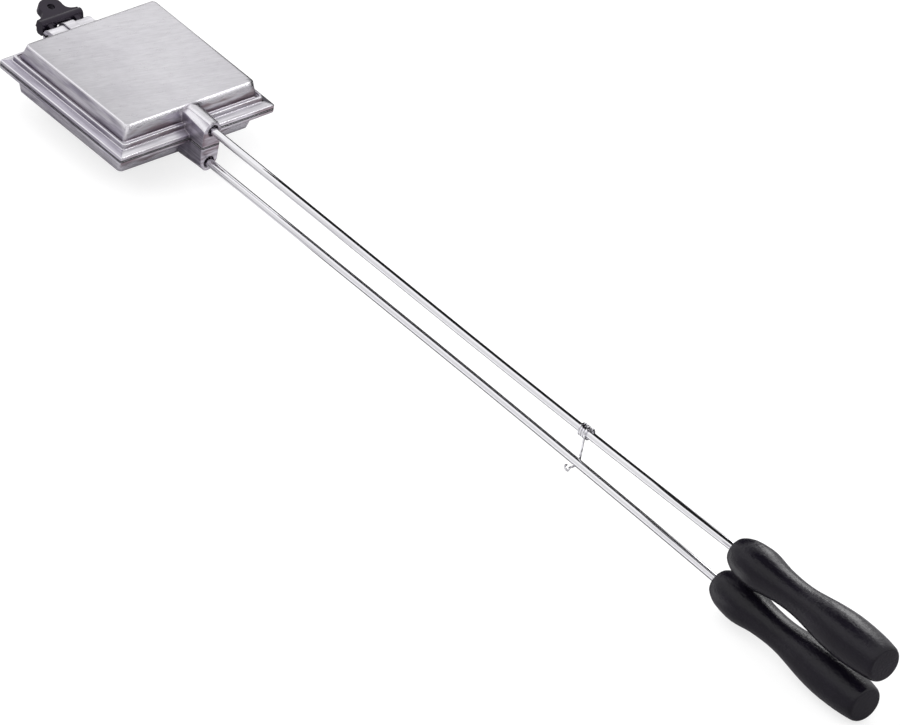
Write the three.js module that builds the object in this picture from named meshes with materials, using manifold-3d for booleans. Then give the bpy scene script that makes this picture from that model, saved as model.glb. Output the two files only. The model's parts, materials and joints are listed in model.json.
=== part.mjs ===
import * as THREE from 'three';
import { mergeVertices } from 'three/addons/utils/BufferGeometryUtils.js';
import Module from 'manifold-3d';

// A long sandwich iron: two cast pans hinged at the far end, each on a chromed rod with a wooden grip.
// Sizes are millimetres. +X runs from the pans to the grips, Y is the hinge's line and +Z is up.
// The pieces are laid out from the pans' centre on the parting plane, then stood on the lowest point.

const wasm = await Module();
wasm.setup();

// Clearances
const clearance = 0.3;
const seamHalf = clearance / 2;
const overrun = 2;
const weldDistance = 0.0001;

// Outside of a pan, from the flange inward and upward
const panSide = 110;
const flangeCorner = 1;
const rimHeight = 2.6;
const rimRound = 0.7;
const flangeRise = 1.2;
const ridgeInset = 5.5;
const ridgeRound = 0.8;
const ridgeHeight = 7.2;
const coveDepth = 1.1;
const coveWidth = 0.8;
const plateauHeight = 16.2;
const plateauDraft = 1.6;
const plateauRound = 2;
const plateauCorner = 2.4;
const plateauEndSetback = 0.6;
const panHalf = panSide / 2;
const ridgeHalf = panHalf - ridgeInset;
const wallFootHalf = ridgeHalf - ridgeRound - coveWidth;
const wallTopHalf = wallFootHalf - plateauDraft;

// Hollow for the bread
const panWall = 3.2;
const hollowDraft = 0.5;
const hollowRound = 1.8;
const hollowCornerTrim = 0.8;
const ledgeRound = 0.9;
const ledgeRise = 0.45;

// Rod sockets
const lugReach = 11.9;
const lugWidth = 12.8;
const lugLean = 0.3;
const lugFrontShoulder = 10.8;
const lugBackShoulder = 13.4;
const lugEdgeRound = 0.6;
const crestRadius = 4.2;
const crestHeight = 16.6;
const crestRamp = 5;
const crestSink = 1.7;
const creaseStep = 0.35;
const facetTopHalf = 3.1;
const rodSeat = 16;
const mouthRadius = 3.7;
const mouthDepth = 2.5;
const lugFront = panHalf + lugReach;
const lugBack = wallTopHalf - plateauEndSetback - panWall / 2;

// Rods, which bow apart past the latch
const rodDiameter = 4.76;
const rodOffset = 10.5;
const bowStart = 258;
const bowSpan = 252;
const bowRise = 2.8;
const rodRadius = rodDiameter / 2;
const boreRadius = rodRadius + clearance;
const rodStart = lugFront - rodSeat + clearance;

// Grips
const upperGripStart = 524.8;
const lowerGripStart = 515.5;
const gripLength = 124.4;
const gripRadius = 13.3;
const gripMouthRound = 1;
const gripEndRound = 2;
const gripEndCrown = 0.67;
const gripBoreDepth = 60;
const gripMouthShare = 0.61;
const gripEndShare = 0.84;
const gripOutlineShares = [
  [0.03, 0.745],
  [0.075, 0.866],
  [0.15, 0.928],
  [0.205, 0.891],
  [0.275, 0.776],
  [0.34, 0.722],
  [0.405, 0.701],
  [0.47, 0.727],
  [0.54, 0.806],
  [0.62, 0.91],
  [0.7, 0.978],
  [0.775, 1],
  [0.87, 0.966],
  [0.94, 0.906],
];

// Hinge
const hingeSetback = 6.2;
const pinRadius = 1.6;
const hookRadius = 5.8;
const hookWidth = 7;
const earRadius = 4.6;
const earReach = 15.2;
const pinRecess = 0.8;
const slotPlace = 9.5;
const slotReach = 8;
const slotStart = THREE.MathUtils.degToRad(118);
const slotEnd = THREE.MathUtils.degToRad(307);
const pinX = -(panHalf + hingeSetback);
const pinBoreRadius = pinRadius + clearance;
const earSwing = hingeSetback - clearance;
const earFoot = ridgeInset / 2;
const pinHalf = earReach - pinRecess;

// Hanger
const barRadius = 2.8;
const barSetback = 9.08;
const barRise = 2.76;
const barHalf = 14.6;
const hookRoom = 4.2;
const lobeRadius = 2.3;
const lobeSetback = 9;
const lobeDrop = 0.3;
const lobeTipRadius = 1.7;
const lobeTipSetback = 7;
const lobeTipDrop = 0.8;
const armThickness = 2.8;
const armRingRadius = 2.6;
const armRadius = 1.7;
const tabTilt = THREE.MathUtils.degToRad(11);
const tabThickness = 4.2;
const tabTop = 1.5;
const tabRootHalf = 14.4;
const tabHalf = 7.6;
const tabFlare = 3.2;
const tabFlareEnd = 3.9;
const tabWaist = 8.25;
const tabShoulder = 9.5;
const tabTip = 15.8;
const tabHolePlace = 9;
const tabHoleRadius = 2.2;
const slotHalf = armThickness / 2 + clearance;
const slotRadius = armRingRadius + clearance;

// Latch
const latchX = 391.3;
const wireDiameter = 1.2;
const coilTurns = 4.1;
const coilPitch = 1.7;
const tailLength = 2.8;
const hookLean = 1.2;
const curlRadius = 1.6;
const curlStart = THREE.MathUtils.degToRad(20);
const curlSweep = THREE.MathUtils.degToRad(275);
const tailRiseShare = 0.25;
const curlLeanShare = 2;
const curlSideShare = 0.85;
const curlDropShare = 1.11;
const legShares = [
  [0.25, 0.25],
  [0.5, 0.5],
];
const hookShares = [
  [1, 1, -0.5],
  [1, 0.95, 0.5],
  [1.3, 0.3, 1.11],
  [1.7, -0.5, 1.22],
];
const wireRadius = wireDiameter / 2;
const wireOffset = rodRadius + clearance + wireRadius;

// Fineness of round surfaces
const cornerSteps = 6;
const curveSteps = 3;
const rodSides = 20;
const rodSteps = 26;
const gripSides = 32;
const gripSteps = 26;
const roundSides = 28;
const arcSteps = 10;
const wireSides = 8;
const wireSteps = 112;
const helixSteps = 20;
const curlSteps = 8;
const gapSamples = 336;

const castAluminium = new THREE.MeshStandardMaterial({ color: 0xc3c2c6, roughness: 0.42, metalness: 0.85 });
const chromedSteel = new THREE.MeshStandardMaterial({ color: 0xd9dadd, roughness: 0.12, metalness: 1 });
const blackPaint = new THREE.MeshStandardMaterial({ color: 0x24222a, roughness: 0.5, metalness: 0 });
const blackPlastic = new THREE.MeshStandardMaterial({ color: 0x1b1a1d, roughness: 0.3, metalness: 0 });
const plainSteel = new THREE.MeshStandardMaterial({ color: 0x9c9da1, roughness: 0.35, metalness: 1 });

// Solids

function solidFrom(geometry) {
  const bare = geometry.clone();
  bare.deleteAttribute('normal');
  bare.deleteAttribute('uv');
  const welded = mergeVertices(bare, weldDistance);
  return new wasm.Manifold(new wasm.Mesh({
    numProp: 3,
    vertProperties: new Float32Array(welded.attributes.position.array),
    triVerts: new Uint32Array(welded.index.array),
  }));
}

function geometryFrom(solid) {
  const { vertProperties, triVerts } = solid.getMesh();
  const geometry = new THREE.BufferGeometry();
  geometry.setAttribute('position', new THREE.BufferAttribute(vertProperties, 3));
  geometry.setIndex(new THREE.BufferAttribute(triVerts, 1));
  geometry.computeVertexNormals();
  return geometry;
}

function joined(geometries) {
  return geometries.map(solidFrom).reduce((whole, piece) => whole.add(piece));
}

function cut(solid, geometries) {
  return geometries.map(solidFrom).reduce((rest, tool) => rest.subtract(tool), solid);
}

// A closed skin through rings with equal point counts, from the lowest ring to the highest
function loft(rings) {
  const count = rings[0].length;
  const points = rings.flat();
  const lowCentre = points.length;
  const highCentre = lowCentre + 1;
  points.push(new THREE.Vector3(0, 0, rings[0][0].z));
  points.push(new THREE.Vector3(0, 0, rings.at(-1)[0].z));
  const faces = [];
  for (let i = 0; i < count; i++) {
    const next = (i + 1) % count;
    faces.push(lowCentre, next, i);
    faces.push(highCentre, (rings.length - 1) * count + i, (rings.length - 1) * count + next);
    for (let r = 0; r < rings.length - 1; r++) {
      const low = r * count;
      const high = low + count;
      faces.push(low + i, low + next, high + next, low + i, high + next, high + i);
    }
  }
  const geometry = new THREE.BufferGeometry().setFromPoints(points);
  geometry.setIndex(faces);
  return geometry;
}

function roundedRing(halfX, halfY, corner, z) {
  const ring = [];
  for (let quadrant = 0; quadrant < 4; quadrant++) {
    const centreX = (quadrant % 3 === 0 ? 1 : -1) * (halfX - corner);
    const centreY = (quadrant < 2 ? 1 : -1) * (halfY - corner);
    for (let i = 0; i <= cornerSteps; i++) {
      const angle = (quadrant + i / cornerSteps) * Math.PI / 2;
      const x = centreX + corner * Math.cos(angle);
      ring.push(new THREE.Vector3(x, centreY + corner * Math.sin(angle), z));
    }
  }
  return ring;
}

// Turns a profile of half widths against heights into rings; the inner stage is set back at both ends
function ringsFrom(profile, setbackHalf, cornerTrim) {
  return profile.getPoints(curveSteps).map((point) => {
    const inward = (panHalf - point.x) / (panHalf - wallTopHalf);
    const corner = THREE.MathUtils.lerp(flangeCorner, plateauCorner, Math.min(inward, 1)) + cornerTrim;
    const setback = point.x <= setbackHalf ? plateauEndSetback : 0;
    return roundedRing(point.x - setback, point.x, corner, point.y);
  });
}

function prism(shape, depth, curveSegments = arcSteps) {
  return new THREE.ExtrudeGeometry(shape, { depth, bevelEnabled: false, curveSegments });
}

function prismAlongX(shape, low, high) {
  const turn = new THREE.Matrix4().makeBasis(
    new THREE.Vector3(0, 1, 0),
    new THREE.Vector3(0, 0, 1),
    new THREE.Vector3(1, 0, 0),
  );
  return prism(shape, high - low).applyMatrix4(turn).translate(low, 0, 0);
}

function prismAlongY(shape, low, high) {
  const turn = new THREE.Matrix4().makeBasis(
    new THREE.Vector3(1, 0, 0),
    new THREE.Vector3(0, 0, 1),
    new THREE.Vector3(0, -1, 0),
  );
  return prism(shape, high - low).applyMatrix4(turn).translate(0, high, 0);
}

function rodAlongY(radius, low, high, x, z) {
  const geometry = new THREE.CylinderGeometry(radius, radius, high - low, roundSides);
  return geometry.translate(x, (low + high) / 2, z);
}

function rodAlongX(radius, low, high, z) {
  const geometry = new THREE.CylinderGeometry(radius, radius, high - low, roundSides);
  return geometry.rotateZ(-Math.PI / 2).translate((low + high) / 2, 0, z);
}

function circlePoints(radius, sides, height = 0) {
  return Array.from({ length: sides }, (_, i) => {
    const angle = (i / sides) * Math.PI * 2;
    return new THREE.Vector2(radius * Math.cos(angle), height + radius * Math.sin(angle));
  });
}

// Pans

function panOutside() {
  const footHalf = ridgeHalf + ridgeRound;
  const footHeight = rimHeight + flangeRise;
  const rimSlope = rimRound * flangeRise / ridgeInset;
  const coveHeight = ridgeHeight - coveDepth;
  const coveMiddle = coveHeight + coveDepth / 2;
  const coveEdge = ridgeHalf - ridgeRound;
  const profile = new THREE.Path();
  profile.moveTo(panHalf, seamHalf);
  profile.lineTo(panHalf, rimHeight - rimRound);
  profile.quadraticCurveTo(panHalf, rimHeight, panHalf - rimRound, rimHeight + rimSlope);
  profile.lineTo(footHalf + rimRound, footHeight);
  profile.quadraticCurveTo(footHalf, footHeight, footHalf, footHeight + rimRound);
  profile.lineTo(footHalf, ridgeHeight - ridgeRound);
  profile.quadraticCurveTo(footHalf, ridgeHeight, ridgeHalf, ridgeHeight);
  profile.quadraticCurveTo(coveEdge, ridgeHeight, coveEdge, coveMiddle);
  profile.quadraticCurveTo(coveEdge, coveHeight, coveEdge - coveWidth / 2, coveHeight);
  profile.quadraticCurveTo(wallFootHalf, coveHeight, wallFootHalf, coveMiddle);
  profile.lineTo(wallTopHalf, plateauHeight - plateauRound);
  profile.quadraticCurveTo(wallTopHalf, plateauHeight, wallTopHalf - plateauRound, plateauHeight);
  return loft(ringsFrom(profile, wallFootHalf, 0));
}

function breadHollow() {
  const mouthHalf = ridgeHalf + ridgeRound - panWall;
  const ledgeHeight = ridgeHeight - panWall;
  const innerHalf = wallTopHalf - panWall;
  const ceiling = plateauHeight - panWall;
  const ceilingHalf = innerHalf - hollowDraft;
  const footHeight = ledgeHeight + ledgeRise;
  const profile = new THREE.Path();
  profile.moveTo(mouthHalf, -overrun);
  profile.lineTo(mouthHalf, ledgeHeight - ledgeRound);
  profile.quadraticCurveTo(mouthHalf, ledgeHeight, mouthHalf - ledgeRound, ledgeHeight);
  profile.lineTo(innerHalf + ledgeRound, footHeight);
  profile.quadraticCurveTo(innerHalf, footHeight, innerHalf, footHeight + ledgeRound);
  profile.lineTo(ceilingHalf, ceiling - hollowRound);
  profile.quadraticCurveTo(ceilingHalf, ceiling, ceilingHalf - hollowRound, ceiling);
  return loft(ringsFrom(profile, innerHalf + ledgeRound, hollowCornerTrim));
}

// A section of the lug at x round the rod's axis, with its height along -X until the lug is turned
function lugRing(x, shoulder, top, trim) {
  const half = lugWidth / 2 - trim;
  const crestCentre = top - trim - crestRadius;
  const facetTop = crestCentre + Math.sqrt(crestRadius ** 2 - facetTopHalf ** 2);
  const crestStart = Math.acos(facetTopHalf / crestRadius);
  const side = [
    new THREE.Vector2(half, seamHalf),
    new THREE.Vector2(half - lugLean, shoulder - trim),
    new THREE.Vector2(facetTopHalf, facetTop - creaseStep),
  ];
  const crest = Array.from({ length: roundSides / 2 + 1 }, (_, i) => {
    const angle = THREE.MathUtils.lerp(crestStart, Math.PI - crestStart, 2 * i / roundSides);
    return new THREE.Vector2(crestRadius * Math.cos(angle), crestCentre + crestRadius * Math.sin(angle));
  });
  const mirrored = side.map((point) => new THREE.Vector2(-point.x, point.y)).reverse();
  return [...side, ...crest, ...mirrored].map((point) => new THREE.Vector3(rodOffset - point.y, point.x, x));
}

function socketLug() {
  const rings = [
    lugRing(lugBack, lugBackShoulder, crestHeight - crestSink, 0),
    lugRing(lugBack + crestRamp, lugBackShoulder, crestHeight, 0),
    lugRing(lugFront - lugEdgeRound, lugFrontShoulder, crestHeight, 0),
    lugRing(lugFront, lugFrontShoulder, crestHeight, lugEdgeRound),
  ];
  return loft(rings).rotateY(Math.PI / 2).translate(0, 0, rodOffset);
}

function hingeHook() {
  const outline = new THREE.Shape();
  const footX = -ridgeHalf;
  outline.moveTo(footX, seamHalf);
  outline.lineTo(footX, hookRadius);
  outline.lineTo(pinX, hookRadius);
  outline.absarc(pinX, 0, hookRadius, Math.PI / 2, Math.PI * 2, false);
  outline.lineTo(pinX + hookRadius, seamHalf);
  return prismAlongY(outline, -hookWidth / 2, hookWidth / 2);
}

function hingeEar(low, high) {
  const rimAngle = Math.asin(earRadius / earSwing);
  const seamAngle = -Math.asin(seamHalf / earSwing);
  const outline = new THREE.Shape();
  outline.moveTo(earFoot - panHalf, -seamHalf);
  outline.lineTo(earFoot - panHalf, -earRadius);
  outline.lineTo(pinX, -earRadius);
  outline.absarc(pinX, 0, earRadius, -Math.PI / 2, Math.PI / 2, true);
  outline.absarc(pinX, 0, earSwing, rimAngle, seamAngle, true);
  return prismAlongY(outline, low, high);
}

// The room in an ear for an arm of the hanger, open at the back and below
function armSlot(middle) {
  const low = middle - slotHalf;
  const high = middle + slotHalf;
  const outline = new THREE.Shape();
  outline.moveTo(pinX, 0);
  outline.absarc(pinX, 0, slotReach, slotStart, slotEnd, false);
  return [prismAlongY(outline, low, high), rodAlongY(slotRadius, low, high, pinX, 0)];
}

function panWith(hingeParts, hingeTools, turned) {
  const seat = rodAlongX(boreRadius, lugFront - rodSeat, lugFront + overrun, rodOffset);
  const mouth = rodAlongX(mouthRadius, lugFront - mouthDepth, lugFront + overrun, rodOffset);
  const base = [panOutside(), socketLug()];
  const tools = [breadHollow(), seat, mouth];
  if (turned) {
    [...base, ...tools].forEach((geometry) => geometry.rotateX(Math.PI));
  }
  const pinReach = earReach + overrun;
  const pinBore = rodAlongY(pinBoreRadius, -pinReach, pinReach, pinX, 0);
  return geometryFrom(cut(joined([...base, ...hingeParts]), [...tools, ...hingeTools, pinBore]));
}

// Rods and grips

function rodSlope(x) {
  return 2 * bowRise * Math.max(x - bowStart, 0) / bowSpan ** 2;
}

function rodHeight(x, gripStart) {
  const bent = Math.max(Math.min(x, gripStart) - bowStart, 0) / bowSpan;
  const beyond = Math.max(x - gripStart, 0);
  return rodOffset + bowRise * bent ** 2 + beyond * rodSlope(gripStart);
}

class RodLine extends THREE.Curve {
  constructor(gripStart) {
    super();
    this.gripStart = gripStart;
    this.tilt = Math.atan(rodSlope(gripStart));
  }

  getPoint(t, target = new THREE.Vector3()) {
    const end = this.gripStart + (gripBoreDepth - clearance) * Math.cos(this.tilt);
    const x = THREE.MathUtils.lerp(rodStart, end, t);
    return target.set(x, 0, rodHeight(x, this.gripStart));
  }
}

function rodGeometry(gripStart) {
  return new THREE.ExtrudeGeometry(new THREE.Shape(circlePoints(rodRadius, rodSides)), {
    steps: rodSteps,
    extrudePath: new RodLine(gripStart),
    bevelEnabled: false,
  });
}

function gripGeometry() {
  const startRadius = gripRadius * gripMouthShare;
  const endRadius = gripRadius * gripEndShare;
  const swell = gripOutlineShares.map(([along, radius]) => (
    new THREE.Vector2(radius * gripRadius, along * gripLength)
  ));
  const side = new THREE.SplineCurve([
    new THREE.Vector2(startRadius, gripMouthRound / 2),
    ...swell,
    new THREE.Vector2(endRadius, gripLength - gripEndRound),
  ]);
  const outline = new THREE.Path();
  outline.moveTo(0, gripBoreDepth);
  outline.lineTo(boreRadius, gripBoreDepth);
  outline.lineTo(boreRadius, 0);
  outline.lineTo(startRadius - gripMouthRound, 0);
  outline.lineTo(startRadius, gripMouthRound / 2);
  const before = outline.getPoints(1);
  const after = new THREE.QuadraticBezierCurve(
    new THREE.Vector2(endRadius, gripLength - gripEndRound),
    new THREE.Vector2(endRadius - gripEndCrown, gripLength),
    new THREE.Vector2(endRadius - gripEndRound, gripLength),
  ).getPoints(curveSteps);
  const profile = [
    ...before,
    ...side.getPoints(gripSteps).slice(1),
    ...after.slice(1),
    new THREE.Vector2(0, gripLength),
  ];
  return new THREE.LatheGeometry(profile, gripSides).rotateZ(-Math.PI / 2);
}

// Hanger

function hangerTab() {
  const outline = new THREE.Shape();
  outline.moveTo(-tabRootHalf, 0);
  outline.lineTo(-tabRootHalf, tabFlare);
  outline.quadraticCurveTo(-tabHalf, tabFlareEnd, -tabHalf, tabWaist);
  outline.lineTo(-tabHalf, tabShoulder);
  outline.absellipse(0, tabShoulder, tabHalf, tabTip - tabShoulder, Math.PI, 0, true);
  outline.lineTo(tabHalf, tabWaist);
  outline.quadraticCurveTo(tabHalf, tabFlareEnd, tabRootHalf, tabFlare);
  outline.lineTo(tabRootHalf, 0);
  outline.holes.push(new THREE.Path(circlePoints(tabHoleRadius, roundSides, tabHolePlace)));
  return prism(outline, tabThickness);
}

// A flat link with two round ends, given as places seen along Y
function link(start, startRadius, end, endRadius, low, high) {
  const along = end.clone().sub(start);
  const lean = Math.acos((startRadius - endRadius) / along.length());
  const heading = along.angle();
  const outline = new THREE.Shape();
  outline.absarc(start.x, start.y, startRadius, heading + lean, heading - lean + Math.PI * 2, false);
  outline.absarc(end.x, end.y, endRadius, heading - lean, heading + lean, false);
  return prismAlongY(outline, low, high);
}

// The lower edge of the bar on one side of the hook
function hangerLip(bar, low, high) {
  const lobe = new THREE.Vector2(pinX - lobeSetback, -lobeDrop);
  const tip = new THREE.Vector2(pinX - lobeTipSetback, -lobeTipDrop);
  return [
    link(bar, barRadius, lobe, lobeRadius, low, high),
    link(bar, barRadius, tip, lobeTipRadius, low, high),
    link(lobe, lobeRadius, tip, lobeTipRadius, low, high),
  ];
}

function hangerArm(bar, middle) {
  const low = middle - armThickness / 2;
  const high = middle + armThickness / 2;
  const arm = link(new THREE.Vector2(pinX, 0), armRadius, bar, armRadius, low, high);
  return [arm, rodAlongY(armRingRadius, low, high, pinX, 0)];
}

function hangerGeometry() {
  const bar = new THREE.Vector2(pinX - barSetback, barRise);
  const plane = new THREE.Matrix4().makeBasis(
    new THREE.Vector3(0, 1, 0),
    new THREE.Vector3(-Math.cos(tabTilt), 0, Math.sin(tabTilt)),
    new THREE.Vector3(Math.sin(tabTilt), 0, Math.cos(tabTilt)),
  );
  plane.setPosition(bar.x, 0, bar.y);
  const whole = joined([
    rodAlongY(barRadius, -barHalf, barHalf, bar.x, bar.y),
    hangerTab().translate(0, 0, tabTop - tabThickness).applyMatrix4(plane),
    ...hangerLip(bar, hookRoom, barHalf),
    ...hangerLip(bar, -barHalf, -hookRoom),
    ...hangerArm(bar, slotPlace),
    ...hangerArm(bar, -slotPlace),
  ]);
  return geometryFrom(cut(whole, [rodAlongY(pinBoreRadius, -barHalf, barHalf, pinX, 0)]));
}

// Latch wire, in the frame of the upper rod where it sits: X along the rod, origin on the rod's axis

function latchPoints() {
  const spacing = rodHeight(latchX, upperGripStart) * 2;
  const startAngle = coilTurns * Math.PI * 2;
  const coil = Array.from({ length: Math.round(coilTurns * helixSteps) + 1 }, (_, i) => {
    const angle = startAngle - (i / helixSteps) * Math.PI * 2;
    const along = Math.max(angle, 0) / (Math.PI * 2) * coilPitch;
    return new THREE.Vector3(along, wireOffset * Math.cos(angle), wireOffset * Math.sin(angle));
  });
  const tailWay = new THREE.Vector3(tailRiseShare, -Math.sin(startAngle), Math.cos(startAngle)).normalize();
  const tail = coil[0].clone().addScaledVector(tailWay, tailLength);
  const leg = legShares.map(([lean, drop]) => (
    new THREE.Vector3(-lean * hookLean, wireOffset, -drop * spacing)
  ));
  const hook = hookShares.map(([lean, side, drop]) => (
    new THREE.Vector3(-lean * hookLean, side * wireOffset, -spacing - drop * wireOffset)
  ));
  const curlX = -curlLeanShare * hookLean - curlRadius;
  const curlZ = -spacing - curlDropShare * wireOffset - curlRadius;
  const curl = Array.from({ length: curlSteps + 1 }, (_, i) => {
    const angle = curlStart - (i / curlSteps) * curlSweep;
    const x = curlX + curlRadius * Math.cos(angle);
    return new THREE.Vector3(x, -curlSideShare * wireOffset, curlZ + curlRadius * Math.sin(angle));
  });
  return [tail, ...coil, ...leg, ...hook, ...curl];
}

// The least gap between stretches of the wire that are over half a turn apart along it
function leastWireGap(points) {
  const apart = Math.PI * wireOffset;
  let least = Infinity;
  let run = 0;
  const lengths = points.map((point, i) => {
    run += i > 0 ? point.distanceTo(points[i - 1]) : 0;
    return run;
  });
  for (let i = 0; i < points.length; i++) {
    for (let j = i + 1; j < points.length; j++) {
      if (lengths[j] - lengths[i] > apart) {
        least = Math.min(least, points[i].distanceTo(points[j]));
      }
    }
  }
  return least - wireDiameter;
}

function latchGeometry() {
  const path = new THREE.CatmullRomCurve3(latchPoints(), false, 'centripetal');
  const gap = leastWireGap(path.getSpacedPoints(gapSamples));
  console.log('least gap of the latch wire to itself:', gap.toFixed(2));
  return new THREE.ExtrudeGeometry(new THREE.Shape(circlePoints(wireRadius, wireSides)), {
    steps: wireSteps,
    extrudePath: path,
    bevelEnabled: false,
  });
}

// Assembly

function piece(name, geometry, material) {
  const mesh = new THREE.Mesh(geometry, material);
  mesh.name = name;
  return mesh;
}

function grip(name, gripStart) {
  const mesh = piece(name, gripGeometry(), blackPaint);
  mesh.position.set(gripStart, 0, rodHeight(gripStart, gripStart));
  mesh.rotation.y = -Math.atan(rodSlope(gripStart));
  return mesh;
}

const earInner = hookWidth / 2 + clearance;
const upperHalf = new THREE.Group();
upperHalf.add(piece('upper_pan', panWith([hingeHook()], [], false), castAluminium));
upperHalf.add(piece('upper_rod', rodGeometry(upperGripStart), chromedSteel));
upperHalf.add(grip('upper_handle', upperGripStart));

const lowerHalf = new THREE.Group();
const ears = [hingeEar(earInner, earReach), hingeEar(-earReach, -earInner)];
const slots = [...armSlot(slotPlace), ...armSlot(-slotPlace)];
lowerHalf.add(piece('lower_pan', panWith(ears, slots, true), castAluminium));
lowerHalf.add(piece('hinge_pin', rodAlongY(pinRadius, -pinHalf, pinHalf, pinX, 0), plainSteel));
const lowerArm = new THREE.Group();
lowerArm.rotation.x = Math.PI;
lowerArm.add(piece('lower_rod', rodGeometry(lowerGripStart), chromedSteel));
lowerArm.add(grip('lower_handle', lowerGripStart));
lowerHalf.add(lowerArm);

const latch = piece('latch_wire', latchGeometry(), chromedSteel);
latch.position.set(latchX, 0, rodHeight(latchX, upperGripStart));
latch.rotation.y = -Math.atan(rodSlope(latchX));
upperHalf.add(latch);

const iron = new THREE.Group();
iron.add(upperHalf, lowerHalf, piece('hanger', hangerGeometry(), blackPlastic));
iron.updateMatrixWorld(true);
const box = new THREE.Box3().setFromObject(iron, true);
const middle = box.getCenter(new THREE.Vector3());
iron.position.set(-middle.x, -middle.y, -box.min.z);

const sandwichIron = new THREE.Group();
sandwichIron.add(iron);
sandwichIron.updateMatrixWorld(true);
const size = box.getSize(new THREE.Vector3());
console.log('overall size:', size.toArray().map((length) => length.toFixed(2)).join(' x '));
const seam = iron.position.toArray().map((place) => place.toFixed(3));
console.log('pan centre on the parting plane:', seam.join(', '));

export default sandwichIron;
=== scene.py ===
import json
import math

import bpy
from mathutils import Matrix, Vector


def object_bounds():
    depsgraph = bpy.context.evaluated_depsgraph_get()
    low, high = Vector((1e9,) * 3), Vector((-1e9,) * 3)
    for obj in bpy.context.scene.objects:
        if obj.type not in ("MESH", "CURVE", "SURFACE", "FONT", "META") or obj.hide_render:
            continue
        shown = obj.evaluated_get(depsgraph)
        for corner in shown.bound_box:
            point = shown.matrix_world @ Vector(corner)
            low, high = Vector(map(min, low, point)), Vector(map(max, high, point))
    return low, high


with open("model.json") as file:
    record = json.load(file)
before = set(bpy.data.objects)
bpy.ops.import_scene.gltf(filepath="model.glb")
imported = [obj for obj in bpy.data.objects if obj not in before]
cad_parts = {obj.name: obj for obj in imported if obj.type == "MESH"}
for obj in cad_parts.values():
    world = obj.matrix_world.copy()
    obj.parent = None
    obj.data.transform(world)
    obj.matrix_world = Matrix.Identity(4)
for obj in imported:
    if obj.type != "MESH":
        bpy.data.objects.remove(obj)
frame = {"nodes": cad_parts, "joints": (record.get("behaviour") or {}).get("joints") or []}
cad_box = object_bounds()
nodes = frame["nodes"]

PIN_TO_CENTRE = 0.0612
pin_place = next(j for j in frame["joints"] if j["name"] == "head_hinge")["pos_m"]
# The middle of the pans, on the parting plane
CENTRE = Vector((pin_place[0] + PIN_TO_CENTRE, 0, pin_place[2]))


def opaque(tone):
    """An RGBA colour from a grey or from an RGB colour."""
    return (*tone, 1) if isinstance(tone, tuple) else (tone, tone, tone, 1)


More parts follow.
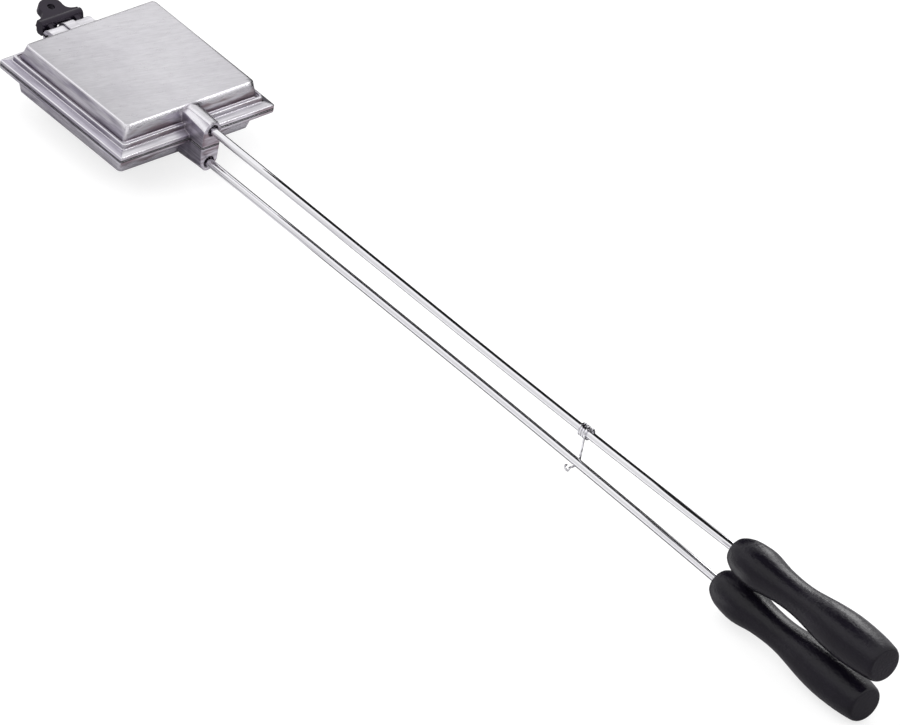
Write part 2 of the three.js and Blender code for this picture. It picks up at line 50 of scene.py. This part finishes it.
class Nodes:
    """A shader node tree, built by short calls.

    An input is the output of another node, a number, a vector or a colour. A mask is 0 or 1,
    or in between where it is soft.
    """

    def __init__(self, owner, output, place):
        owner.use_nodes = True
        self.owner = owner
        self.tree = owner.node_tree
        self.tree.nodes.clear()
        self.out = self.node(output)
        self.coordinates = self.node("ShaderNodeTexCoord").outputs
        self.place = self.coordinates[place]

    def node(self, kind, inputs=None, **settings):
        made = self.tree.nodes.new(kind)
        for key, value in settings.items():
            setattr(made, key, value)
        for key, value in (inputs or {}).items():
            socket = made.inputs[key]
            if isinstance(value, bpy.types.NodeSocket):
                self.tree.links.new(value, socket)
            else:
                socket.default_value = opaque(value) if socket.type == "RGBA" else value
        return made

    def shown(self, shader):
        """Puts a shader on the output, and returns the material or world."""
        self.tree.links.new(shader.outputs[0], self.out.inputs["Surface"])
        return self.owner

    def split(self, source):
        return self.node("ShaderNodeSeparateXYZ", {"Vector": source}).outputs

    def math(self, operation, *values):
        return self.node("ShaderNodeMath", dict(enumerate(values)), operation=operation).outputs[0]

    def times(self, first, *others):
        for other in others:
            first = self.math("MULTIPLY", first, other)
        return first

    def inverse(self, mask):
        return self.math("SUBTRACT", 1.0, mask)

    def step(self, source, start, end):
        """A mask that is 0 up to start and 1 from end on. Where start is the greater, it falls."""
        rising = start < end
        return self.node("ShaderNodeMapRange", {
            "Value": source,
            "From Min": min(start, end), "From Max": max(start, end),
            "To Min": 0 if rising else 1, "To Max": 1 if rising else 0,
        }, interpolation_type="SMOOTHSTEP").outputs["Result"]

    def within(self, source, one_side, other_side):
        """A mask that is 1 between two borders. Each runs from where it is 0 to where it is 1."""
        return self.times(self.step(source, *one_side), self.step(source, *other_side))

    def mixed(self, mask, low, high, blend="MIX"):
        """Low where the mask is 0, and high where it is 1."""
        # These are the numbers of the node's sockets for the factor and for colours
        return self.node("ShaderNodeMix", {0: mask, 6: low, 7: high},
                         data_type="RGBA", blend_type=blend).outputs[2]

    def average(self, one, other):
        return self.mixed(0.5, one, other)

    def tinted(self, colour, tint, mask=1.0):
        """A colour that is multiplied by a tint where the mask is 1."""
        return self.mixed(mask, colour, tint, "MULTIPLY")

    def ramp(self, source, stops):
        """A tone that runs through (position, tone) stops."""
        made = self.node("ShaderNodeValToRGB", {"Fac": source})
        elements = made.color_ramp.elements
        while len(elements) < len(stops):
            elements.new(0.5)
        for element, (at, tone) in zip(elements, stops):
            element.position = at
            element.color = opaque(tone)
        return made.outputs["Color"]

    def at(self, x, y, z, turn=0.0):
        """The place, turned about Z and scaled. The greater a scale, the finer the noise on it."""
        where = self.place
        if turn:
            where = self.node("ShaderNodeVectorRotate", {"Vector": where, "Angle": turn},
                              rotation_type="Z_AXIS").outputs["Vector"]
        return self.node("ShaderNodeVectorMath", {0: where, 1: (x, y, z)},
                         operation="MULTIPLY").outputs["Vector"]

    def noise(self, where, detail, roughness=0.5):
        return self.node("ShaderNodeTexNoise", {
            "Vector": where, "Scale": 1.0, "Detail": detail, "Roughness": roughness,
        }).outputs["Fac"]

    def rounded(self, radius, samples):
        """A normal that rounds the edges off."""
        return self.node("ShaderNodeBevel", {"Radius": radius}, samples=samples).outputs["Normal"]

    def bumped(self, height, strength, distance, under=None):
        inputs = {"Height": height, "Strength": strength, "Distance": distance}
        if under is not None:
            inputs["Normal"] = under
        return self.node("ShaderNodeBump", inputs).outputs["Normal"]

    def seen(self):
        """A mask that is 1 for camera and transmission rays, and 0 for all others."""
        rays = self.node("ShaderNodeLightPath").outputs
        return self.math("MAXIMUM", rays["Is Camera Ray"], rays["Is Transmission Ray"])

    def surface(self, colour, roughness, normal, **others):
        """A surface on the output. The names of the other inputs have _ for a space."""
        inputs = {"Base Color": colour, "Roughness": roughness, "Normal": normal}
        for key, value in others.items():
            inputs[key.replace("_", " ")] = value
        return self.shown(self.node("ShaderNodeBsdfPrincipled", inputs))


def look(name):
    return Nodes(bpy.data.materials.new(name), "ShaderNodeOutputMaterial", "Object")


# Borders of the masks on the pans, each from where a mask is 0 to where it is 1. A height is
# the distance from the parting plane in metres. A slope is 1 on a level face and 0 on a wall.
SEAM_HEIGHT = (0.0009, 0.0005)
FLANGE_HEIGHT = (0.0046, 0.0040)
FLOOR_HEIGHT = (0.0095, 0.0105)
BAND_HEIGHT = (0.0095, 0.0110)
BAND_BORDER = (0.0106, 0.0128)
ROUNDER_HEIGHT = (0.0095, 0.0125)
PLATEAU_HEIGHT = (0.0155, 0.0161)
UPRIGHT_SLOPE = (0.7, 0.5)
FLANGE_SLOPE = (0.9, 0.96)
FLAT_SLOPE = (0.90, 0.97)
PLATEAU_SLOPE = (0.8, 0.97)
EDGE_SLOPES = (0.25, 0.45), (0.97, 0.90)
LUG_X = (-0.2280, -0.2255)

BRUSHING = math.radians(-76)
SIDE_STAIN = (0.62, 0.60, 0.66)
END_STAIN = (0.52, 0.44, 0.45)
LUG_SHADE = (0.68, 0.66, 0.70)
FLANGE_SHADE = (0.66, 0.64, 0.70)
SEAM_SHADOW = (0.02, 0.019, 0.02)
PIT = (0.25, 0.24, 0.27)
PITS_PER_METRE = 62
EDGE_ROUGHNESS = 0.22
BAND_ROUGHNESS = 0.26
# Lengths in metres
NEAR_EDGE_Y = -0.052
BAND_WAVE = 0.012
SHADE_REACH = 0.009
EDGE_RADIUS = 0.0010
MORE_RADIUS_ON_TOP = 0.0018
MORE_RADIUS_AT_ENDS = 0.0020


def cast_aluminium():
    s = look("cast_aluminium_look")
    place = s.split(s.place)
    facing = s.split(s.coordinates["Normal"])
    height = s.math("ABSOLUTE", s.math("SUBTRACT", place["Z"], CENTRE.z))
    slope = s.math("ABSOLUTE", facing["Z"])
    end_wall = s.math("GREATER_THAN",
                      s.math("ABSOLUTE", facing["X"]), s.math("ABSOLUTE", facing["Y"]))
    upright = s.step(slope, *UPRIGHT_SLOPE)
    # The rounded edges, which are polished
    edge = s.within(slope, *EDGE_SLOPES)
    # The flat top of the plateau
    top = s.times(s.step(height, *PLATEAU_HEIGHT), s.step(slope, *PLATEAU_SLOPE))
    # A flat floor or plateau has no end walls, so the streaks on it all run one way
    flat = s.times(s.step(height, *FLOOR_HEIGHT), s.step(slope, *FLAT_SLOPE))
    streak_turn = s.times(end_wall, s.inverse(flat))

    cloud = s.noise(s.at(26, 32, 60), detail=4, roughness=0.6)
    mottle = s.noise(s.at(170, 360, 360, BRUSHING), detail=4, roughness=0.65)
    brush = s.noise(s.at(70, 1250, 1250, BRUSHING), detail=2, roughness=0.6)
    along_x = s.noise(s.at(42, 620, 620), detail=3, roughness=0.6)
    along_y = s.noise(s.at(620, 42, 620), detail=3, roughness=0.6)
    wall_streak = s.mixed(streak_turn, along_x, along_y)
    stretched = s.mixed(streak_turn, s.at(30, 240, 240), s.at(240, 34, 240))
    blotch = s.noise(stretched, detail=3, roughness=0.6)
    fine = s.noise(s.at(1500, 1500, 1500), detail=2)
    wave = s.noise(s.at(0, 46, 0), detail=2)

    # The steps and walls are streaked and stained
    wall = s.ramp(wall_streak, [(0.32, 0.66), (0.64, 1.0)])
    stained = s.times(upright, s.ramp(blotch, [(0.42, 1.0), (0.58, 0.0)]))
    wall = s.tinted(wall, s.mixed(end_wall, SIDE_STAIN, END_STAIN), stained)
    # The end walls carry a painted highlight: a band below the plateau, at full brightness and
    # less rough, with a wavy lower border
    border = s.math("ADD", height, s.times(s.math("SUBTRACT", wave, 0.5), BAND_WAVE))
    highlight_band = s.times(streak_turn, s.step(height, *BAND_HEIGHT), s.step(border, *BAND_BORDER))
    # The rounded edges and the painted highlight band are set to full brightness
    wall = s.mixed(s.math("MAXIMUM", edge, highlight_band), wall, 1.0)
    # Painted shade: the lugs' upright faces are made darker than the pans
    lug = s.times(upright, s.step(place["X"], *LUG_X))
    wall = s.tinted(wall, LUG_SHADE, lug)

    # The plateau is brushed, and has painted shade that darkens it towards the near long edge
    brushed = s.ramp(s.average(mottle, brush), [(0.35, 0.67), (0.65, 0.80)])
    decimetres = s.times(s.math("SUBTRACT", place["Y"], NEAR_EDGE_Y), 10.0)
    near_shade = s.ramp(s.math("ADD", decimetres, s.times(cloud, 0.2)),
                  [(0.12, 0.76), (0.28, 0.88), (0.65, 1.0)])
    brushed = s.tinted(brushed, near_shade)

    metal_tone = s.ramp(cloud, [(0.3, (0.86, 0.84, 0.89)), (0.7, (0.93, 0.915, 0.955))])
    colour = s.tinted(metal_tone, s.mixed(top, wall, brushed))

    # Painted shade in the steps and on the side flange tops, and a painted shadow in the gap where
    # the two halves meet
    # Painted shade: ambient occlusion darkens the hollows, corners and the feet of the walls
    openness = s.node("ShaderNodeAmbientOcclusion", {"Distance": SHADE_REACH},
                      only_local=True, samples=8).outputs["AO"]
    colour = s.tinted(colour, s.ramp(openness, [
        (0.40, (0.50, 0.47, 0.50)), (0.74, (0.62, 0.60, 0.64)), (0.93, 1.0),
    ]))
    # Painted shade: the level tops of the side flanges are made darker
    flange = s.times(s.step(height, *FLANGE_HEIGHT), s.step(slope, *FLANGE_SLOPE),
                     s.inverse(end_wall))
    colour = s.tinted(colour, FLANGE_SHADE, flange)
    # Painted shadow: a near-black line on the upright faces beside the parting plane, where the
    # gap between the halves lies in shade
    seam_shadow = s.times(upright, s.step(height, *SEAM_HEIGHT))
    colour = s.mixed(seam_shadow, colour, SEAM_SHADOW)

    # A few small pits
    pit = s.node("ShaderNodeTexVoronoi", {"Vector": s.place, "Scale": PITS_PER_METRE})
    outside = s.ramp(pit.outputs["Distance"], [(0.0, 0.0), (0.045, 1.0)])
    unpitted = s.ramp(s.noise(s.at(75, 75, 75), detail=1), [(0.60, 1.0), (0.66, 0.0)])
    colour = s.mixed(s.math("MAXIMUM", outside, unpitted), PIT, colour)

    rough_top = s.ramp(mottle, [(0.3, 0.26), (0.7, 0.35)])
    rough_wall = s.mixed(edge, s.ramp(wall_streak, [(0.3, 0.46), (0.7, 0.34)]), EDGE_ROUGHNESS)
    rough_wall = s.mixed(s.times(highlight_band, upright), rough_wall, BAND_ROUGHNESS)
    roughness = s.mixed(top, rough_wall, rough_top)

    # The plateau's edge is rounder than the steps, and most so at the end walls
    more = s.math("MULTIPLY_ADD", end_wall, MORE_RADIUS_AT_ENDS, MORE_RADIUS_ON_TOP)
    radius = s.math("MULTIPLY_ADD", s.step(height, *ROUNDER_HEIGHT), more, EDGE_RADIUS)
    uneven = s.bumped(cloud, strength=0.22, distance=0.0006, under=s.rounded(radius, samples=8))
    streaks = s.mixed(top, wall_streak, brush)
    grain = s.math("ADD", s.times(streaks, 0.6), s.times(fine, 0.3))
    normal = s.bumped(grain, strength=0.3, distance=0.00012, under=uneven)
    return s.surface(colour, roughness, normal, Metallic=1.0)


def chrome():
    s = look("chromed_steel_look")
    scuff = s.noise(s.at(60, 900, 900), detail=3, roughness=0.6)
    cloud = s.noise(s.at(12, 12, 12), detail=3)
    colour = s.ramp(cloud, [(0.3, (0.84, 0.83, 0.87)), (0.7, (0.90, 0.895, 0.92))])
    roughness = s.ramp(scuff, [(0.35, 0.04), (0.75, 0.09)])
    normal = s.bumped(scuff, strength=0.08, distance=0.00004)
    return s.surface(colour, roughness, normal, Metallic=1.0)


def pin_steel():
    s = look("pin_steel_look")
    drawn = s.noise(s.at(900, 40, 900), detail=3)
    colour = s.ramp(drawn, [(0.3, (0.42, 0.42, 0.43)), (0.7, (0.56, 0.56, 0.57))])
    roughness = s.ramp(drawn, [(0.3, 0.24), (0.7, 0.38)])
    normal = s.bumped(drawn, strength=0.15, distance=0.00005)
    return s.surface(colour, roughness, normal, Metallic=1.0)


def black_paint():
    s = look("black_paint_look")
    grain = s.noise(s.at(240, 700, 700), detail=4, roughness=0.6)
    peel = s.noise(s.at(620, 620, 620), detail=3, roughness=0.6)
    cloud = s.noise(s.at(40, 90, 90), detail=4, roughness=0.65)
    colour = s.ramp(cloud, [(0.3, (0.0045, 0.0036, 0.0068)), (0.7, (0.0085, 0.0068, 0.0125))])
    roughness = s.ramp(s.average(cloud, peel), [(0.35, 0.15), (0.65, 0.29)])
    uneven = s.bumped(cloud, strength=0.35, distance=0.0006)
    normal = s.bumped(s.average(grain, peel), strength=0.55, distance=0.0006, under=uneven)
    return s.surface(colour, roughness, normal, Specular_IOR_Level=0.30)


def black_plastic():
    s = look("black_plastic_look")
    cloud = s.noise(s.at(60, 60, 60), detail=3)
    grain = s.noise(s.at(900, 900, 900), detail=2)
    colour = s.ramp(cloud, [(0.3, (0.0045, 0.0034, 0.0065)), (0.7, (0.008, 0.006, 0.011))])
    roughness = s.ramp(cloud, [(0.3, 0.10), (0.7, 0.17)])
    rounded = s.rounded(radius=0.0005, samples=4)
    normal = s.bumped(grain, strength=0.2, distance=0.0001, under=rounded)
    return s.surface(colour, roughness, normal,
                     Specular_IOR_Level=0.42, Specular_Tint=(0.92, 0.80, 1.0))


WELD_DISTANCE = 1e-6
SHARP_ANGLE = math.radians(38)


def smooth_facets():
    """A modifier tree that welds a CAD mesh and shades it smooth, except over sharp edges."""
    group = bpy.data.node_groups.new("smooth_facets", "GeometryNodeTree")
    for way in ("INPUT", "OUTPUT"):
        group.interface.new_socket("Geometry", in_out=way, socket_type="NodeSocketGeometry")
    chain = [group.nodes.new(kind) for kind in (
        "NodeGroupInput", "GeometryNodeMergeByDistance", "GeometryNodeRemoveAttribute",
        "GeometryNodeSetShadeSmooth", "GeometryNodeSetShadeSmooth", "NodeGroupOutput",
    )]
    weld, bare, creased = chain[1], chain[2], chain[4]
    weld.inputs["Distance"].default_value = WELD_DISTANCE
    bare.inputs["Name"].default_value = "custom_normal"
    creased.domain = "EDGE"
    creased.inputs["Shade Smooth"].default_value = False
    for first, second in zip(chain, chain[1:]):
        group.links.new(first.outputs[0], second.inputs[0])
    bend = group.nodes.new("GeometryNodeInputMeshEdgeAngle")
    sharp = group.nodes.new("FunctionNodeCompare")
    sharp.inputs["B"].default_value = SHARP_ANGLE
    group.links.new(bend.outputs["Unsigned Angle"], sharp.inputs["A"])
    group.links.new(sharp.outputs[0], creased.inputs["Selection"])
    return group


def finish_nodes():
    """Gives each CAD node its material and smooth facets."""
    facets = smooth_facets()
    for material, names in (
        (cast_aluminium(), ("upper_pan", "lower_pan")),
        (chrome(), ("upper_rod", "lower_rod", "latch_wire")),
        (pin_steel(), ("hinge_pin",)),
        (black_paint(), ("upper_handle", "lower_handle")),
        (black_plastic(), ("hanger",)),
    ):
        for name in names:
            obj = nodes[name]
            obj.data.materials.clear()
            obj.data.materials.append(material)
            obj.modifiers.new("smooth_facets", "NODES").node_group = facets
            obj.modifiers.new("even_normals", "WEIGHTED_NORMAL").keep_sharp = True


def placed(name, data):
    obj = bpy.data.objects.new(name, data)
    bpy.context.scene.collection.objects.link(obj)
    return obj


def sheet(name, corners, material):
    mesh = bpy.data.meshes.new(name)
    mesh.from_pydata(corners, [], [tuple(range(len(corners)))])
    mesh.materials.append(material)
    return placed(name, mesh)


STUDIO_GREY = (0.42, 0.41, 0.43)
FLOOR_REACH = 30
FLOOR_GAP = 0.0004
SEEN_FLOOR = 0.34
FLOOR_GLOW = 0.74
DARK_CARD = 0.015
LIGHT_CARD = 0.80
# Where the world turns grey: towards the near side, and down towards the floor
NEAR_SIDE = (0.1, -0.35)
LOW_DOWN = (0.62, 0.05)


def floor_look():
    """A white floor to the camera. Other rays find grey, dark and light parts on it."""
    s = look("floor_look")
    seen = s.seen()
    ground = s.split(s.place)
    x, y = ground["X"], ground["Y"]
    rods = s.within(x, (-0.15, -0.12), (0.24, 0.22))
    far = s.times(s.step(y, 0.11, 0.19), s.step(x, 0.12, 0.02))
    beside_head = s.times(s.within(x, (-0.23, -0.21), (-0.12, -0.15)),
                          s.within(y, (-0.03, 0.0), (0.14, 0.11)))
    under_rods = s.times(rods, s.within(y, (-0.012, -0.006), (0.13, 0.11)))
    before_rods = s.times(rods, s.within(y, (-0.016, -0.022), (-0.10, -0.07)))
    tone = STUDIO_GREY
    for part, part_tone in (
        (far, 0.03), (beside_head, (0.80, 0.79, 0.80)),
        (under_rods, 0.06), (before_rods, (0.85, 0.85, 0.86)),
    ):
        tone = s.mixed(part, tone, part_tone)
    diffuse = s.node("ShaderNodeBsdfDiffuse", {"Color": s.mixed(seen, tone, SEEN_FLOOR)})
    glow = s.node("ShaderNodeEmission", {"Strength": s.times(seen, FLOOR_GLOW)})
    return s.shown(s.node("ShaderNodeAddShader", {0: diffuse.outputs[0], 1: glow.outputs[0]}))


def plain_floor():
    floor = sheet("floor", [
        (x * FLOOR_REACH, y * FLOOR_REACH, 0) for x, y in ((-1, -1), (1, -1), (1, 1), (-1, 1))
    ], floor_look())
    floor.location.z = cad_box[0].z - FLOOR_GAP


def studio_card(name, tone, corners):
    """A card that stands in the studio and shows only as a reflection."""
    s = look(name + "_look")
    card = sheet(name, corners, s.shown(s.node("ShaderNodeEmission", {"Color": tone})))
    card.visible_camera = False
    card.visible_diffuse = False
    card.visible_transmission = False
    card.visible_shadow = False


def upright_at(y, corners):
    return [(x, y, z) for x, z in corners]


def level_at(z, corners):
    return [(x, y, z) for x, y in corners]


def studio_cards():
    studio_card("card_behind_rods", DARK_CARD, upright_at(0.25, [
        (-0.44, 0), (0.0, 0), (0.02, 0.15), (-0.02, 0.24), (-0.39, 0.24), (-0.43, 0.20),
    ]))
    studio_card("card_over_rods", DARK_CARD, level_at(0.075, [
        (-0.195, 0), (0.215, 0), (0.215, 0.055), (-0.195, 0.055),
    ]))
    studio_card("card_before_rods", LIGHT_CARD, upright_at(-0.06, [
        (-0.25, 0), (0.19, 0), (0.19, 0.075), (-0.25, 0.075),
    ]))
    studio_card("card_over_grips", DARK_CARD, level_at(0.30, [
        (-0.02, -0.12), (0.24, -0.12), (0.24, 0.09), (-0.02, 0.09),
    ]))


def studio_world():
    """White to the camera. Other rays find it grey low down on the near side."""
    world = bpy.data.worlds.new("studio")
    bpy.context.scene.world = world
    s = Nodes(world, "ShaderNodeOutputWorld", "Generated")
    way = s.split(s.place)
    low = s.times(s.step(way["Y"], *NEAR_SIDE), s.step(way["Z"], *LOW_DOWN))
    grey = s.times(low, s.inverse(s.seen()))
    s.shown(s.node("ShaderNodeBackground", {"Color": s.mixed(grey, 1.0, STUDIO_GREY)}))


def soft_lamp(name, place, target, size, watts, mirrored):
    lamp = bpy.data.lights.new(name, "AREA")
    lamp.shape = "ELLIPSE"
    lamp.size, lamp.size_y = size
    lamp.energy = watts
    obj = placed(name, lamp)
    obj.location = place
    obj.rotation_mode = "QUATERNION"
    obj.rotation_quaternion = (Vector(target) - Vector(place)).to_track_quat("-Z", "Y")
    obj.visible_glossy = mirrored
    obj.visible_camera = False


def photo_camera():
    """A far camera with a long lens, fitted to points on the head, the rods and the grips."""
    data = bpy.data.cameras.new("photo_camera")
    data.sensor_width = 36
    data.lens = 800
    data.clip_start = 0.1
    data.clip_end = 100
    right = (0.626369, 0.769004, 0.127655)
    up = (-0.509328, 0.279762, 0.813829)
    back = (0.590124, -0.574775, 0.56691)
    place = Vector((6.76893, -6.31869, 6.21893)) + CENTRE
    rows = [(*turn, shift) for turn, shift in zip(zip(right, up, back), place)]
    camera = placed("photo_camera", data)
    camera.matrix_world = Matrix([*rows, (0, 0, 0, 1)])
    bpy.context.scene.camera = camera


finish_nodes()
plain_floor()
studio_cards()
studio_world()
soft_lamp("key_lamp", place=(-0.9, -1.1, 1.9), target=(0, 0, 0),
          size=(2.4, 2.4), watts=20, mirrored=False)
# A small lamp behind the grips, for the highlight on their upper edges
soft_lamp("rim_lamp", place=(0.05, 0.30, 0.31), target=(0.31, 0, 0.03),
          size=(0.14, 0.38), watts=0.45, mirrored=True)
photo_camera()
bpy.context.scene.view_settings.view_transform = "Standard"
